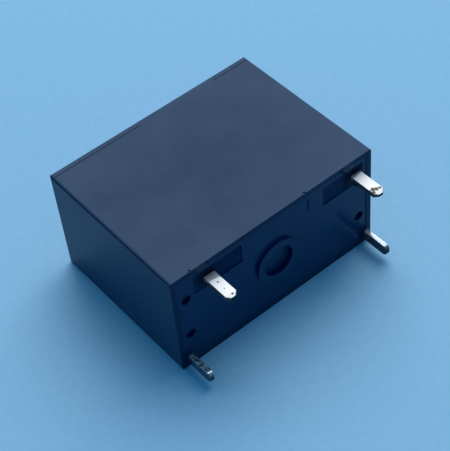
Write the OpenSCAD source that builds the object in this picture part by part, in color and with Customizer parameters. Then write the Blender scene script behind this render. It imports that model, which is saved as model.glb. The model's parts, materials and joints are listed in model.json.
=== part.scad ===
// Sealed miniature power relay for a circuit board, one normally open contact.
// It lies on one long side, as set down on a bench: terminals towards -Y, top of the relay towards +Y.

/* [Case] */
// Length of the case along X
case_l = 20.3; // [19:0.1:24]
// Width of the case, which stands upright along Z
case_w = 10.5; // [10:0.1:13]
// Height of the case above the circuit board, along Y
case_h = 15.5; // [15:0.1:19]
// Thickness of the four walls
case_wall = 0.5; // [0.4:0.05:0.7]
// Thickness of the roof, at the end away from the terminals
case_roof = 0.6; // [0.4:0.05:0.8]
// Radius of the outer edges
case_edge_r = 0.25; // [0.1:0.05:0.35]
// Distance of the mould witness groove from the roof
groove_inset = 0.55; // [0.45:0.05:1.5]
// Width of the witness groove
groove_w = 0.08; // [0.04:0.01:0.15]
// Depth of the witness groove
groove_depth = 0.04; // [0.02:0.01:0.1]
// Length of the groove's left run
groove_left_l = 8.4; // [4:0.1:9]
// Length of the groove's right run
groove_right_l = 3.6; // [2:0.1:6]
// Width of the gate nicks in the rim
nick_w = 0.2; // [0.15:0.05:0.6]
// Distance of the left gate nick from the left end
nick_left_inset = 1.95; // [1:0.05:4]
// Distance of the right gate nick from the right end
nick_right_inset = 7; // [5:0.05:8]

/* [Base] */
// Depth of the base's outer face inside the rim of the case
base_recess = 0.06; // [0.05:0.01:0.3]
// Thickness of the base plate
base_t = 1.32; // [1:0.02:1.6]
// Clearance between base and case wall
base_gap = 0.04; // [0.02:0.01:0.08]
// Outer diameter of the raised seating ring
ring_d = 4.2; // [3.6:0.1:4.4]
// Inner diameter of the seating ring
ring_bore = 2.9; // [2:0.1:3.4]
// Height of the seating ring above the base
ring_h = 0.28; // [0.2:0.02:0.5]
// Depth of the floor inside the seating ring, below the face of the base
ring_floor = 0.2; // [0.1:0.02:0.4]
// Diameter of the four dimples
dimple_d = 0.9; // [0.5:0.05:1]
// Depth of the dimples
dimple_depth = 0.35; // [0.25:0.05:0.6]
// Distance of the dimples from the ends of the case
dimple_inset = 1.3; // [1.2:0.05:2]
// Distance between the two dimples at one end
dimple_pitch = 4.1; // [3.4:0.1:4.4]
// How far the dimples are set towards the contact terminals
dimple_shift = 0.34; // [0:0.02:0.4]
// Depth of the sealing pockets around the contact terminals
pocket_depth = 0.22; // [0.15:0.01:0.3]
// Height of a sealing pocket, across the width of the base
pocket_w = 1.95; // [1.6:0.05:2.2]
// Distance of the pockets from the side of the case
pocket_inset = 0.92; // [0.8:0.02:1.1]
// Length of the pocket at the moving terminal
pocket_left_l = 4.7; // [4:0.1:5]
// Length of the pocket at the fixed terminal
pocket_right_l = 4.3; // [3.6:0.1:4.6]
// Distance of the left pocket from the left end of the case
pocket_left_inset = 2.14; // [1.8:0.02:2.6]
// Distance of the right pocket from the right end of the case
pocket_right_inset = 0.86; // [0.75:0.01:1.1]
// Thickness of the resin on the pocket floor
resin_t = 0.1; // [0.05:0.01:0.14]
// Leg of the resin fillet along the seam
resin_bead = 0.04; // [0.02:0.01:0.05]
// Width of the base's short parting slit
slit_w = 0.12; // [0.08:0.02:0.2]
// Length of the parting slit
slit_l = 1.4; // [1:0.1:2]
// Depth of the parting slit
slit_depth = 0.1; // [0.05:0.01:0.2]
// Distance of the parting slit from the middle of the base
slit_x = 3.45; // [2.8:0.05:4]

/* [Terminals] */
// How far the terminals stand out past the rim of the case
terminal_l = 2.9; // [2.5:0.1:4]
// Thickness of the contact terminals' sheet
sheet_t = 0.4; // [0.3:0.05:0.5]
// Inner radius of a fold in that sheet
fold_r = 0.12; // [0.1:0.02:0.2]
// Width of a contact blade
blade_w = 1.02; // [0.8:0.02:1.2]
// Corner chamfer at the tip of a blade
blade_chamfer = 0.3; // [0.15:0.05:0.35]
// Length of the coined bevel at the tip of a blade
coin_l = 0.35; // [0.2:0.05:0.6]
// Depth of the coined bevel on each face
coin_depth = 0.09; // [0.04:0.01:0.12]
// Distance of the blades' outer face from the side of the case
blade_row_inset = 1.6; // [1.5:0.05:1.9]
// Distance of the moving terminal from the left end of the case
moving_terminal_inset = 3.55; // [3.3:0.05:4]
// Distance of the fixed terminal from the right end of the case
fixed_terminal_inset = 1.73; // [1.6:0.01:2]
// Width of a coil pin, along the length of the case
pin_w = 0.45; // [0.4:0.05:0.55]
// Depth of a coil pin, across the width of the case
pin_d = 0.95; // [0.8:0.05:1]
// Radius of the two round corners at a coil pin's tip
pin_tip_r = 0.38; // [0.2:0.02:0.4]
// Chamfer at the sides of a coil pin's tip
pin_chamfer = 0.08; // [0.04:0.01:0.12]
// Clearance of the coil pins from the end walls
pin_end_gap = 0.05; // [0.03:0.01:0.1]
// Clearance of the coil pins from the side wall
pin_side_gap = 0.2; // [0.15:0.05:0.4]
// Clearance of a terminal in its slot
slot_gap = 0.02; // [0.01:0.01:0.03]

/* [Magnet] */
// Diameter of the iron core, as a share of the winding's diameter
core_share = 0.434; // [0.36:0.002:0.48]
// Diameter of the pole head
pole_d = 5.2; // [4.4:0.1:5.6]
// Thickness of the pole head
pole_t = 0.5; // [0.4:0.05:0.8]
// Diameter of the spigot riveted into the yoke
spigot_d = 2.2; // [1.8:0.1:2.4]
// Thickness of the yoke's strip
yoke_t = 1; // [0.8:0.05:1.2]
// Inner radius of the yoke's bend
yoke_bend_r = 0.3; // [0.2:0.05:0.5]
// Room between the yoke and the left end wall
yoke_end_room = 1.25; // [1.1:0.05:1.6]
// Room between the yoke and each side wall
yoke_side_room = 1.45; // [1.4:0.05:1.8]
// How far the yoke stands above the core's spigot
yoke_rise = 1.2; // [0.8:0.1:1.6]
// Radius of the yoke edge that the armature rocks on
hinge_edge_r = 0.15; // [0.1:0.01:0.2]
// Thickness of the bobbin's flanges
flange_t = 0.8; // [0.6:0.05:1]
// Corner radius of the flanges
flange_r = 0.6; // [0.3:0.1:1]
// Clearance between the flanges and the walls
flange_gap = 0.25; // [0.15:0.05:0.4]
// Wall of the bobbin's tube
tube_wall = 0.45; // [0.35:0.05:0.6]
// Clearance of the core in the tube
core_gap = 0.03; // [0.02:0.01:0.05]
// Rim of flange left standing above the winding
winding_rim = 0.45; // [0.35:0.05:1]
// Height of the bobbin lugs that hold the coil pins
lug_h = 2; // [1.4:0.1:2.6]
// Wall of a lug beside its pin
lug_wall = 0.2; // [0.15:0.05:0.25]
// Diameter of the coil's lead wire
lead_d = 0.12; // [0.08:0.01:0.16]
// Turns of lead wire round a coil pin
lead_turns = 4; // [3:1:6]
// Height of the solder above the wrapped turns
solder_h = 0.3; // [0.2:0.05:0.5]

/* [Armature] */
// Angle that the armature swings through
swing = 5.7; // [4.5:0.1:6]
// Thickness of the armature's sheet
armature_t = 0.9; // [0.7:0.05:1.1]
// Inner radius of the armature's bend
armature_bend_r = 0.25; // [0.15:0.05:0.35]
// How much narrower the armature is than the yoke
armature_narrower = 0.4; // [0.3:0.05:0.8]
// Width of the leg under the yoke
leg_w = 4.4; // [3.8:0.1:5]
// Running gap between armature and yoke
hinge_gap = 0.05; // [0.03:0.01:0.08]
// Room between the resting armature and the right end wall
armature_end_room = 0.35; // [0.25:0.05:0.6]
// How far the armature stands above the pole head
armature_rise = 0.3; // [0.1:0.05:0.5]
// Reach of the pusher's nose from the hinge edge
pusher_reach = 4.9; // [4.4:0.1:5.4]
// Length of the pusher along the leg
pusher_l = 1.4; // [1.2:0.1:1.8]
// Radius of the pusher's nose
nose_r = 0.3; // [0.2:0.05:0.4]
// Width of the pusher
pusher_w = 2.6; // [2.2:0.1:3]
// Diameter of the pusher's staking pegs
peg_d = 0.6; // [0.5:0.05:0.8]
// Distance between the pegs
peg_pitch = 1.5; // [1.2:0.1:1.8]
// Thickness of the hinge spring
clip_t = 0.12; // [0.08:0.01:0.15]
// Height of the hinge spring's strip
clip_h = 0.6; // [0.4:0.05:0.7]
// Length of the hinge spring's arms along the yoke
clip_arm_l = 4.2; // [3.5:0.1:5]
// Depth of the hooks at the ends of the arms
clip_hook = 0.3; // [0.2:0.05:0.4]

/* [Contacts] */
// Thickness of the moving contact's leaf
leaf_t = 0.15; // [0.1:0.01:0.2]
// Width of the leaf at its root
leaf_w = 3.4; // [3:0.1:3.6]
// How far the contacts are set towards the blades' side
contact_shift = 0.8; // [0.6:0.05:1]
// Diameter of the contacts
contact_d = 2; // [1.6:0.1:2.2]
// Diameter of the moving contact's flat crown
crown_d = 1; // [0.6:0.1:1.2]
// Height of each contact
contact_t = 0.35; // [0.25:0.05:0.45]
// Diameter of the contact rivets' shanks
shank_d = 0.9; // [0.7:0.05:1]
// Height of a rivet head
head_t = 0.25; // [0.15:0.05:0.3]
// Diameter of the head on the back of the moving contact
head_d = 1.5; // [1.2:0.1:1.8]
// Distance of the contacts from the fixed terminal
contact_offset = 2.62; // [2.4:0.02:3]
// Length of the shelf under the root of the leaf
shelf_l = 2.6; // [2.4:0.1:3]
// Diameter of the root rivets' shanks
rivet_d = 0.7; // [0.5:0.05:0.8]
// Diameter of the root rivets' heads
rivet_head_d = 1.2; // [1:0.05:1.3]
// Distance between the two root rivets
rivet_pitch = 1.8; // [1.5:0.1:2]
// Clearance left between pieces that meet when the relay closes
closing_gap = 0.03; // [0.02:0.01:0.05]
// Clearance between the leg and the back of the moving contact
leg_clear = 0.2; // [0.15:0.05:0.3]
// Clearance between the resting leg and the yoke
stop_gap = 0.06; // [0.04:0.01:0.1]

/* [Hidden] */

$fn = 48;
// Overshoot of cutting tools past the faces that they cut
cut = 0.5;
// Clearance of a rivet shank in its hole
shank_gap = 0.01;

// Colours
black_cover = [0.13, 0.16, 0.20];
black_base = [0.07, 0.09, 0.13];
dark_resin = [0.05, 0.06, 0.09];
tinned = [0.86, 0.87, 0.88];
silver_contact = [0.80, 0.79, 0.76];
spring_copper = [0.78, 0.52, 0.33];
bobbin_black = [0.16, 0.16, 0.17];
enamel_copper = [0.66, 0.30, 0.16];
solder_grey = [0.70, 0.71, 0.72];
plated_iron = [0.62, 0.63, 0.64];
pusher_ivory = [0.85, 0.82, 0.72];
spring_steel = [0.58, 0.58, 0.57];

// Room inside the case: half length, half width, and the roof's inner face
room_x = case_l / 2 - case_wall;
room_w = case_w / 2 - case_wall;
room_top = case_h - case_roof;

// Base: inner face, outline and the places of its features
base_in = base_recess + base_t;
base_x = room_x - base_gap;
base_w = room_w - base_gap;
dimple_x = case_l / 2 - dimple_inset;
pocket_top = case_w / 2 - pocket_inset;
pocket_spans = [
    [-case_l / 2 + pocket_left_inset, pocket_left_l],
    [case_l / 2 - pocket_right_inset - pocket_right_l, pocket_right_l]
];

// Terminals: outer face of the blades, places of the blades and pins
blade_face = case_w / 2 - blade_row_inset;
moving_x = -case_l / 2 + moving_terminal_inset;
fixed_x = case_l / 2 - fixed_terminal_inset;
pin_x = room_x - pin_end_gap - pin_w / 2;
pin_at = -(room_w - pin_side_gap - pin_d / 2);

// Armature kinematics, in the closed pose, measured from the hinge axis in the yoke's rounded edge
arm_face = hinge_edge_r + hinge_gap;
tip_reach = pusher_reach + pusher_l / 2;
leg_drop = (tip_reach * sin(swing) + hinge_edge_r + stop_gap) / cos(swing);
hinge_above_leaf = head_t + leg_clear + armature_t + leg_drop;
nose_drop = (pusher_reach * sin(swing) + hinge_above_leaf - closing_gap - nose_r) / cos(swing);

// Leaf: root line at the edge of its shelf, and the angle that the pusher bends it through
shelf_x = moving_x - blade_w / 2 - sheet_t;
root_x = shelf_x + shelf_l;
contact_x = fixed_x - contact_offset;

// The coil and the armature fill the height left above the contacts, so the hinge comes from the leaf's
// height and the leaf's height from its own swing, which depends only on distances from the hinge
function nose_far(hinge_x) = hinge_x - pusher_reach - root_x;
nose_near = hinge_above_leaf + leaf_t - nose_drop;
nose_off = leaf_t + nose_r + closing_gap;
function leaf_angle(hinge_x) =
    atan2(nose_far(hinge_x), nose_near) - acos(nose_off / norm([nose_far(hinge_x), nose_near]));

// Coil: height of its flanges if the leaf swings by a given angle
function leaf_height(angle) = base_in + sheet_t + 2 * contact_t + closing_gap
    + (contact_x - root_x + crown_d / 2) * sin(angle);
function yoke_under(angle) = leaf_height(angle) + leaf_t + hinge_above_leaf - hinge_edge_r;
function coil_axis(angle) = (yoke_under(angle) + yoke_t + room_top - flange_gap) / 2;
function armature_top(angle) = coil_axis(angle) + pole_d / 2 + armature_rise
    - yoke_under(angle) - hinge_edge_r;
function hinge_place(angle) = room_x - armature_end_room
    - (arm_face + armature_t) * cos(swing) - armature_top(angle) * sin(swing);

// The two depend on each other weakly, so a few rounds settle them
settling_rounds = 8;
function settled_hinge(x, rounds) = rounds <= 0 ? x
    : settled_hinge(hinge_place(leaf_angle(x)), rounds - 1);
hinge_x = settled_hinge(room_x * 3 / 4, settling_rounds);
leaf_swing = leaf_angle(hinge_x);

leaf_under = leaf_height(leaf_swing);
leaf_top = leaf_under + leaf_t;
hinge_h = leaf_top + hinge_above_leaf;
yoke_low = hinge_h - hinge_edge_r;
yoke_top = yoke_low + yoke_t;
yoke_end = hinge_x + hinge_edge_r;
yoke_left = -room_x + yoke_end_room;
yoke_half = room_w - yoke_side_room;

flange_top = room_top - flange_gap;
flange_half = room_w - flange_gap;
axis_h = (yoke_top + flange_top) / 2;
winding_r = min(flange_top - axis_h, flange_half) - winding_rim;
core_d = 2 * winding_r * core_share;
tube_r = core_d / 2 + core_gap + tube_wall;
bobbin_left = yoke_left + yoke_t;
bobbin_right = yoke_end - pole_t;

armature_half = yoke_half - armature_narrower / 2;
leg_top = hinge_h - leg_drop;
leg_low = leg_top - armature_t;
nose_x = hinge_x - pusher_reach;
nose_h = hinge_h - nose_drop;

lug_top = axis_h - lead_d / 2;
wrap_top = lug_top + lead_turns * lead_d;
pin_top = wrap_top + solder_h * 2 / 3;
lug_inner = pin_at + pin_d / 2 + lug_wall;

// Leads: height above the lugs, width where they leave the winding and width where they meet the pins
lead_h = lug_top + 1.5 * lead_d;
lead_exit = -(winding_r + lead_d / 2 + slot_gap);
lead_entry = pin_at + pin_d / 2;

clip_face = hinge_x + (arm_face + armature_t) / cos(swing) + hinge_gap
    + (clip_h - hinge_edge_r) * tan(swing);
clip_low = yoke_low - hinge_edge_r;
clip_left = yoke_end - clip_arm_l;

rivet_x = root_x - rivet_head_d;
shelf_end = contact_shift - leaf_w / 2 - sheet_t;

// Puts a piece drawn as (length, height above the rim, width from the middle) into the part's frame
module relay() translate([0, -case_h / 2, case_w / 2]) children();

// Box between two corners
module block(low, high) translate(low) cube(high - low);

// Outline in (length, width), raised between two heights
module raised(h0, h1) translate([0, h1, 0]) rotate([90, 0, 0]) linear_extrude(h1 - h0) children();

// Outline in (length, height), spread between two widths
module across(w0, w1) translate([0, 0, w0]) linear_extrude(w1 - w0) children();

// Outline in (height, width), drawn out between two lengths
module along(x0, x1) translate([x0, 0, 0]) rotate([90, 0, 90]) linear_extrude(x1 - x0) children();

// Round bar along the height
module upright(d, x, w, h0, h1) translate([x, h0, w]) rotate([-90, 0, 0]) cylinder(d = d, h = h1 - h0);

// Round bar along the length, on the axis of the coil
module on_axis(d, x0, x1) translate([x0, axis_h, 0]) rotate([0, 90, 0]) cylinder(d = d, h = x1 - x0);

// Rectangle between two corners with round corners
module rounded(low, high, r) {
    translate([low[0] + r, low[1]]) square([high[0] - low[0] - 2 * r, high[1] - low[1]]);
    translate([low[0], low[1] + r]) square([high[0] - low[0], high[1] - low[1] - 2 * r]);
    for (a = [low[0] + r, high[0] - r], b = [low[1] + r, high[1] - r])
        translate([a, b]) circle(r);
}

// Section of a strip folded square, with its outer corner at the origin
module folded(a, b, t, r) {
    outer = r + t;
    translate([outer, 0]) square([a - outer, t]);
    translate([0, outer]) square([t, b - outer]);
    intersection() {
        translate([outer, outer]) circle(outer);
        difference() {
            square(outer);
            translate([outer, outer]) circle(r);
        }
    }
}

// Turns a piece drawn in the closed pose back to the resting pose
module opened() translate([hinge_x, hinge_h, 0]) rotate([0, 0, -swing])
    translate([-hinge_x, -hinge_h, 0]) children();

// Moulded cover, open towards the board, with its outer edges rounded
module case() color(black_cover) relay() difference() {
    intersection() {
        raised(0, case_h) rounded([-case_l, -case_w] / 2, [case_l, case_w] / 2, case_edge_r);
        across(-case_w, case_w) rounded([-case_l / 2, -case_h], [case_l / 2, case_h], case_edge_r);
        along(-case_l, case_l) rounded([-case_h, -case_w / 2], [case_h, case_w / 2], case_edge_r);
    }
    block([-room_x, -cut, -room_w], [room_x, room_top, room_w]);
    witness_groove(-case_l / 2 + case_edge_r, groove_left_l);
    witness_groove(case_l / 2 - case_edge_r - groove_right_l, groove_right_l);
    for (x = [-case_l / 2 + nick_left_inset, case_l / 2 - nick_right_inset])
        upright(nick_w, x, case_w / 2, -cut, nick_w);
}

// One run of the shallow mould line on the upper side
module witness_groove(x, l) {
    h = case_h - groove_inset;
    block([x, h - groove_w, case_w / 2 - groove_depth], [x + l, h, case_w / 2 + cut]);
}

// Moulded floor with slots for the terminals, posts under the bobbin and a ledge under the leaf's shelf
module base() color(black_base) relay() {
    difference() {
        block([-base_x, base_recess, -base_w], [base_x, base_in, base_w]);
        blade_slot(moving_x);
        blade_slot(fixed_x);
        pin_slots(base_recess, base_in);
        for (span = pocket_spans)
            block([span[0], base_recess - cut, pocket_top - pocket_w],
                [span[0] + span[1], base_recess + pocket_depth, pocket_top]);
        dimples();
        upright(ring_bore, 0, 0, base_recess - cut, base_recess + ring_floor);
        block([slit_x - slit_w / 2, base_recess - cut, pocket_top - slit_l],
            [slit_x + slit_w / 2, base_recess + slit_depth, pocket_top]);
    }
    seating_ring();
    bobbin_posts();
    shelf_ledge();
}

// Slot for a contact blade, relieved at the inner face for the fold above it
module blade_slot(x) {
    half = blade_w / 2 + slot_gap;
    inner = blade_face - sheet_t - slot_gap;
    block([x - half, base_recess - cut, inner], [x + half, base_in + cut, blade_face + slot_gap]);
    block([x - half, base_in - fold_r - slot_gap, inner - fold_r],
        [x + half, base_in + cut, inner + cut / 2]);
}

// Notches for the coil pins between two heights, open at the ends
module pin_slots(h0, h1) {
    half = pin_d / 2 + slot_gap;
    for (side = [0, 1]) mirror([side, 0, 0])
        block([pin_x - pin_w / 2 - slot_gap, h0 - cut, pin_at - half],
            [room_x + cut, h1 + cut, pin_at + half]);
}

module dimples() for (x = [-dimple_x, dimple_x], w = [-dimple_pitch / 2, dimple_pitch / 2])
    upright(dimple_d, x, dimple_shift + w, base_recess - cut, base_recess + dimple_depth);

// Ring that stands on the board, rooted in the base as deep as it stands out
module seating_ring() difference() {
    upright(ring_d, 0, 0, base_recess - ring_h, base_recess + ring_h);
    upright(ring_bore, 0, 0, base_recess - ring_h - cut, base_recess + ring_h + cut);
}

// Four posts under the flanges of the bobbin, outside the yoke and the terminals
module bobbin_posts() {
    inner = max(yoke_half + clip_t, blade_face) + base_gap * 2;
    for (x = [bobbin_left, bobbin_right - flange_t], side = [-1, 1])
        block([x, base_recess + pocket_depth * 2, side > 0 ? inner : -flange_half],
            [x + flange_t, yoke_top, side > 0 ? flange_half : -inner]);
}

// Ledge that carries the shelf of the moving terminal
module shelf_ledge() block([shelf_x, base_in - pocket_depth, shelf_end],
    [rivet_x - rivet_head_d / 2 - base_gap, leaf_under - sheet_t, blade_face - sheet_t - fold_r - base_gap]);

// Sealing resin: a pad in each pocket and a fillet along the seam
module sealing_resin() color(dark_resin) relay() difference() {
    union() {
        floor = base_recess + pocket_depth;
        for (span = pocket_spans)
            block([span[0], floor - resin_t, pocket_top - pocket_w], [span[0] + span[1], floor, pocket_top]);
        for (side = [0, 1]) {
            mirror([side, 0, 0]) across(-room_w, room_w) resin_fillet(room_x);
            mirror([0, 0, side]) along(-room_x, room_x) mirror([1, -1]) resin_fillet(room_w);
        }
    }
    blade_slot(moving_x);
    blade_slot(fixed_x);
    pin_slots(base_recess - resin_bead, base_recess);
    dimples();
}

// Triangular section of the seam fillet against a wall at distance d
module resin_fillet(d) polygon([
    [d, base_recess],
    [d - resin_bead, base_recess],
    [d, base_recess - resin_bead]
]);

// Flat blade with chamfered corners and a coined tip, from its tip up to height h1
module blade(x, h1) intersection() {
    across(blade_face - sheet_t, blade_face) polygon([
        [x - blade_w / 2, h1],
        [x - blade_w / 2, blade_chamfer - terminal_l],
        [x - blade_w / 2 + blade_chamfer, -terminal_l],
        [x + blade_w / 2 - blade_chamfer, -terminal_l],
        [x + blade_w / 2, blade_chamfer - terminal_l],
        [x + blade_w / 2, h1]
    ]);
    along(x - blade_w, x + blade_w) polygon([
        [h1, blade_face - sheet_t],
        [coin_l - terminal_l, blade_face - sheet_t],
        [-terminal_l, blade_face - sheet_t + coin_depth],
        [-terminal_l, blade_face - coin_depth],
        [coin_l - terminal_l, blade_face],
        [h1, blade_face]
    ]);
}

// Contact terminal that carries the moving leaf: blade, shoulder on the base and folded shelf
module moving_terminal() color(tinned) relay() difference() {
    union() {
        blade(moving_x, base_in + sheet_t);
        along(shelf_x, root_x) translate([leaf_under, blade_face]) rotate(180)
            folded(leaf_under - base_in, blade_face - shelf_end, sheet_t, fold_r);
    }
    root_rivet_places() upright(rivet_d + 2 * shank_gap, 0, 0, leaf_under - sheet_t - cut, leaf_under + cut);
}

// Contact terminal folded flat onto the base, with the fixed contact riveted in
module fixed_terminal() color(tinned) relay() difference() {
    shelf_top = base_in + sheet_t;
    union() {
        blade(fixed_x, base_recess);
        along(fixed_x - blade_w / 2, fixed_x + blade_w / 2) translate([shelf_top, blade_face]) rotate(180)
            folded(shelf_top - base_recess, sheet_t + 2 * fold_r, sheet_t, fold_r);
        block([contact_x - contact_d / 2 - sheet_t / 2, base_in, contact_shift - contact_d / 2 - sheet_t / 2],
            [fixed_x + blade_w / 2, shelf_top, blade_face - sheet_t - fold_r]);
    }
    upright(shank_d + 2 * shank_gap, contact_x, contact_shift, base_in - cut, shelf_top + cut);
}

// Coil pin with a rounded tip, necked above the bobbin's lug where the lead is wrapped on
module coil_pin(x) color(tinned) relay() {
    intersection() {
        across(pin_at - pin_d / 2, pin_at + pin_d / 2) polygon([
            [x - pin_w / 2, lug_top],
            [x - pin_w / 2, pin_tip_r - terminal_l],
            [x - pin_w / 2 + pin_chamfer, -terminal_l],
            [x + pin_w / 2 - pin_chamfer, -terminal_l],
            [x + pin_w / 2, pin_tip_r - terminal_l],
            [x + pin_w / 2, lug_top]
        ]);
        along(x - pin_w, x + pin_w) rounded([-terminal_l, pin_at - pin_d / 2],
            [lug_top + 2 * pin_tip_r, pin_at + pin_d / 2], pin_tip_r);
    }
    raised(lug_top - lug_h, pin_top) translate([x, pin_at]) pin_neck();
}

// Outlines of the necked post and of the turns wrapped on it, flush with the pin
module pin_neck() square([pin_w - 2 * lead_d, pin_d - 2 * lead_d], center = true);
module pin_sleeve() rounded([-pin_w, -pin_d] / 2, [pin_w, pin_d] / 2, lead_d);

module coil_terminal_left() coil_pin(-pin_x);
module coil_terminal_right() coil_pin(pin_x);

// Silver rivet in the fixed terminal, with a broken edge
module fixed_contact() color(silver_contact) relay() translate([contact_x, base_in, contact_shift])
    rotate([-90, 0, 0]) rotate_extrude() polygon([
        [0, 0],
        [shank_d / 2, 0],
        [shank_d / 2, sheet_t],
        [contact_d / 2, sheet_t],
        [contact_d / 2, sheet_t + contact_t * 2 / 3],
        [contact_d / 2 - contact_t / 3, sheet_t + contact_t],
        [0, sheet_t + contact_t]
    ]);

// Leaf spring: wide root on the shelf, tapering to a round end that carries the moving contact
module moving_spring() color(spring_copper) relay() difference() {
    end_r = contact_d / 2;
    raised(leaf_under, leaf_top) translate([0, contact_shift]) {
        translate([shelf_x, -leaf_w / 2]) square([shelf_l, leaf_w]);
        polygon([[root_x, -leaf_w / 2], [contact_x, -end_r], [contact_x, end_r], [root_x, leaf_w / 2]]);
        translate([contact_x, 0]) circle(end_r);
    }
    upright(shank_d + 2 * shank_gap, contact_x, contact_shift, leaf_under - cut, leaf_top + cut);
    root_rivet_places() upright(rivet_d + 2 * shank_gap, 0, 0, leaf_under - cut, leaf_top + cut);
}

// Silver rivet through the leaf's end: crowned face towards the fixed contact, flat head behind
module moving_contact() color(silver_contact) relay() translate([contact_x, leaf_under, contact_shift])
    rotate([-90, 0, 0]) rotate_extrude() polygon([
        [0, -contact_t],
        [crown_d / 2, -contact_t],
        [contact_d / 2, -contact_t / 2],
        [contact_d / 2, 0],
        [shank_d / 2, 0],
        [shank_d / 2, leaf_t],
        [head_d / 2, leaf_t],
        [head_d / 2, leaf_t + head_t / 2],
        [shank_d / 2, leaf_t + head_t],
        [0, leaf_t + head_t]
    ]);

module root_rivet_places() for (w = [-rivet_pitch / 2, rivet_pitch / 2])
    translate([rivet_x, 0, contact_shift + w]) children();

// Two rivets that clamp the root of the leaf to its shelf
module spring_rivets() color(tinned) relay() root_rivet_places() {
    upright(rivet_d, 0, 0, leaf_under - sheet_t - head_t, leaf_top + head_t);
    upright(rivet_head_d, 0, 0, leaf_top, leaf_top + head_t);
    upright(rivet_head_d, 0, 0, leaf_under - sheet_t - head_t, leaf_under - sheet_t);
}

// Moulded bobbin: tube, two flanges and two lugs that hold the coil pins
module bobbin() color(bobbin_black) relay() difference() {
    union() {
        on_axis(2 * tube_r, bobbin_left, bobbin_right);
        for (x = [bobbin_left, bobbin_right - flange_t])
            along(x, x + flange_t) rounded([yoke_top, -flange_half], [flange_top, flange_half], flange_r);
        block([-pin_x - pin_w / 2, lug_top - lug_h, -flange_half], [bobbin_left, lug_top, lug_inner]);
        block([bobbin_right, lug_top - lug_h, -flange_half], [pin_x + pin_w / 2, lug_top, lug_inner]);
    }
    on_axis(core_d + 2 * core_gap, bobbin_left - cut, bobbin_right + cut);
    block([bobbin_left - cut, yoke_top - cut, -yoke_half - slot_gap],
        [bobbin_left + yoke_bend_r, yoke_top + yoke_bend_r, yoke_half + slot_gap]);
    pin_slots(lug_top - lug_h, lug_top);
    for (x = [bobbin_left, bobbin_right - flange_t])
        block([x - cut, lug_top, -flange_half - cut],
            [x + flange_t + cut, lug_top + 3 * lead_d, max(lead_exit, lead_entry) + lead_d]);
}

// Enamelled winding between the flanges
module coil_winding() color(enamel_copper) relay() difference() {
    on_axis(2 * winding_r, bobbin_left + flange_t, bobbin_right - flange_t);
    on_axis(2 * tube_r, bobbin_left, bobbin_right);
}

// Straight run of lead wire between two points
module wire(from, to) hull() for (end = [from, to]) translate(end) sphere(d = lead_d, $fn = 10);

// Lead wire: off the winding, through the flange's notch and wrapped round its pin in close, soldered turns
module coil_lead(side, flange_in) color(enamel_copper) relay() {
    start = [flange_in - side * flange_t, lead_h, lead_exit];
    turn = [flange_in, lead_h, lead_exit];
    wire(start, turn);
    wire(turn, [side * pin_x, lead_h, lead_entry]);
    raised(lug_top, wrap_top) translate([side * pin_x, pin_at]) difference() {
        pin_sleeve();
        pin_neck();
    }
}

module coil_lead_left() coil_lead(-1, bobbin_left + flange_t);
module coil_lead_right() coil_lead(1, bobbin_right - flange_t);

// Solder cap over the end of a coil pin, on the wrapped lead
module solder(x) color(solder_grey) relay() difference() {
    raised(wrap_top, wrap_top + solder_h) translate([x, pin_at]) pin_sleeve();
    raised(wrap_top - cut, pin_top) translate([x, pin_at]) pin_neck();
}

module solder_left() solder(-pin_x);
module solder_right() solder(pin_x);

// Iron core: spigot riveted into the yoke, rod through the bobbin and pole head
module core() color(plated_iron) relay() {
    on_axis(spigot_d, yoke_left, bobbin_left + cut);
    on_axis(core_d, bobbin_left, yoke_end - pole_t / 2);
    on_axis(pole_d, bobbin_right, yoke_end);
}

// Bent iron strip under the coil and up its left end, with a rounded edge that the armature rocks on
module yoke() color(plated_iron) relay() difference() {
    union() {
        across(-yoke_half, yoke_half) translate([yoke_left, yoke_low])
            folded(hinge_x - yoke_left, axis_h + spigot_d / 2 + yoke_rise - yoke_low, yoke_t, yoke_bend_r);
        block([hinge_x - yoke_t, hinge_h, -yoke_half], [yoke_end, yoke_top, yoke_half]);
        translate([hinge_x, hinge_h, -yoke_half]) cylinder(r = hinge_edge_r, h = 2 * yoke_half);
    }
    on_axis(spigot_d, yoke_left - cut, bobbin_left + cut);
    for (side = [0, 1]) mirror([0, 0, side])
        block([clip_left - slot_gap, yoke_low - cut, yoke_half - clip_hook - slot_gap],
            [clip_left + clip_t + slot_gap, yoke_top + cut, yoke_half + cut]);
}

// Bell crank folded from iron sheet: a wide plate facing the pole and a narrow leg under the yoke
module armature() color(plated_iron) relay() opened() difference() {
    outer = hinge_x + arm_face + armature_t;
    height = armature_top(leaf_swing) + hinge_h - leg_low;
    intersection() {
        across(-armature_half, armature_half) translate([outer, leg_low]) mirror([1, 0])
            folded(outer - hinge_x + tip_reach, height, armature_t, armature_bend_r);
        union() {
            block([hinge_x - tip_reach, leg_low, -leg_w / 2], [outer, hinge_h, leg_w / 2]);
            block([hinge_x, hinge_h - leg_drop, -armature_half], [outer, leg_low + height, armature_half]);
        }
    }
    peg_places() upright(peg_d + 2 * shank_gap, 0, 0, leg_low - cut, leg_top + cut);
}

module peg_places() for (w = [-peg_pitch / 2, peg_pitch / 2])
    translate([nose_x, 0, contact_shift + w]) children();

// Insulating nose staked under the end of the leg
module pusher() color(pusher_ivory) relay() opened() {
    low = contact_shift - pusher_w / 2;
    high = contact_shift + pusher_w / 2;
    across(low, high) {
        translate([nose_x, nose_h]) circle(nose_r);
        polygon([
            [nose_x - nose_r, nose_h],
            [nose_x + nose_r, nose_h],
            [nose_x + pusher_l / 2, leg_low],
            [nose_x - pusher_l / 2, leg_low]
        ]);
    }
    peg_places() upright(peg_d, 0, 0, leg_low, leg_top);
}

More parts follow.
